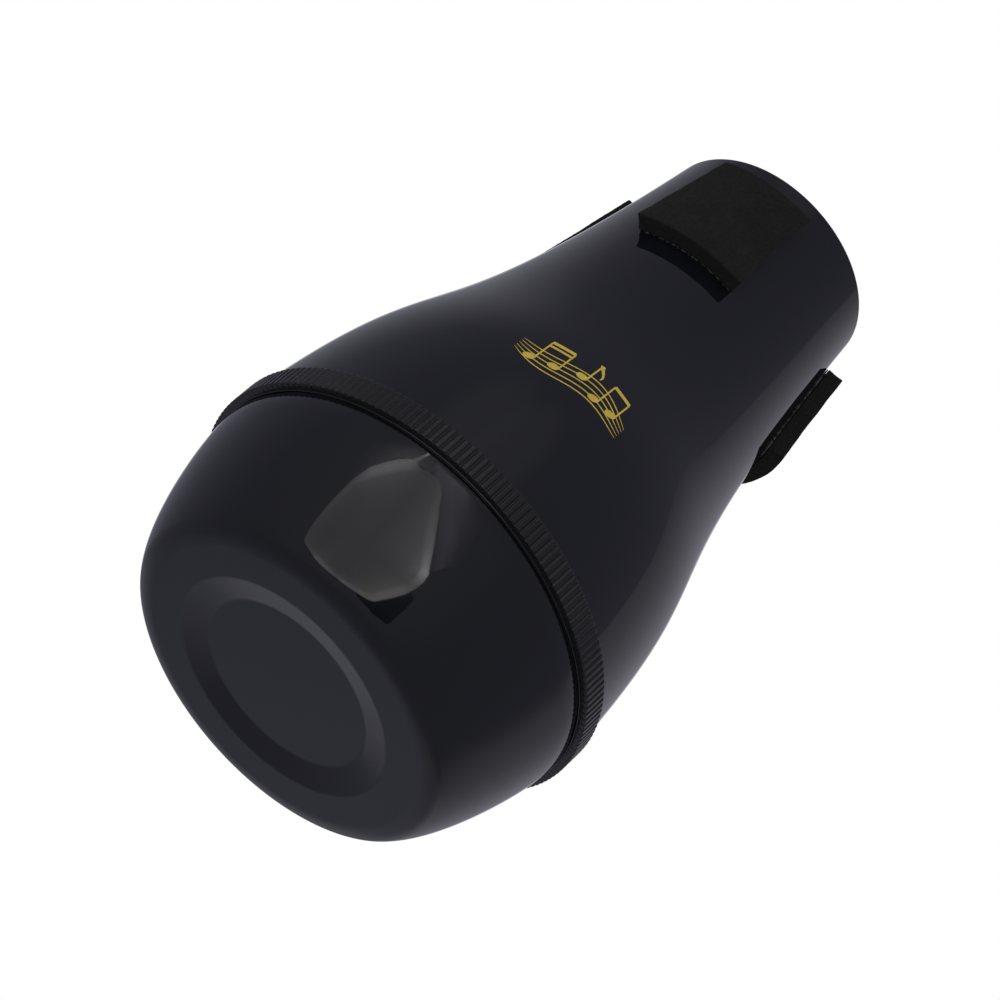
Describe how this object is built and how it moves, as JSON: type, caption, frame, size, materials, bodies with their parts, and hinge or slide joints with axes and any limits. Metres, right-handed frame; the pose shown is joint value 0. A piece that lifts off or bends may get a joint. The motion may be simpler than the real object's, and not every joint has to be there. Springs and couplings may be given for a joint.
{
  "type": "brass instrument practice mute",
  "caption": "Pear-shaped black plastic practice mute for a brass instrument's bell, with a fluted ring, a screw-on end cap and foam pads round its neck.",
  "frame": {"origin": "centre of the round flat foot of the end cap, on the surface the mute stands on", "axes": "+Z along the mute's axis from the end cap up to the open neck, +X to the right and -Y towards the viewer, with one foam pad just left of -Y"},
  "size_m": [0.091, 0.091, 0.1482],
  "materials": {
    "gloss_black": "glossy black moulded plastic",
    "ring_black": "semi-gloss black moulded plastic",
    "inner_black": "plain black moulded plastic",
    "rubber_black": "matt black rubber",
    "pad_foam": "fine closed-cell foam, matt charcoal",
    "soft_foam": "open-cell sound-damping foam, matt dark grey",
    "clear_tape": "translucent adhesive film"
  },
  "bodies": {
    "cap": {"end_cap": "gloss_black", "damping_disc": "soft_foam"},
    "seal": {"cap_seal": "rubber_black"},
    "body": {"neck_shell": "gloss_black", "fluted_ring": "ring_black", "neck_insert": "inner_black", "air_tube": "inner_black", "tube_grommet": "rubber_black", "baffle_disc": "inner_black", "pad_tape_front": "clear_tape", "foam_pad_front": "pad_foam", "pad_tape_right": "clear_tape", "foam_pad_right": "pad_foam", "pad_tape_left": "clear_tape", "foam_pad_left": "pad_foam"}
  },
  "joints": [
    {"name": "body_turn", "type": "hinge", "parent": "cap", "child": "seal", "pos_m": [0, 0, 0.0304], "axis": [0, 0, 1], "range_deg": [0, 540]},
    {"name": "body_lift", "type": "slide", "parent": "seal", "child": "body", "axis": [0, 0, 1], "range_m": [0, 0.009]}
  ],
  "couplings": [
    {"joint": "body_lift", "follows": "body_turn", "m_per_rad": 0.00095493}
  ]
}
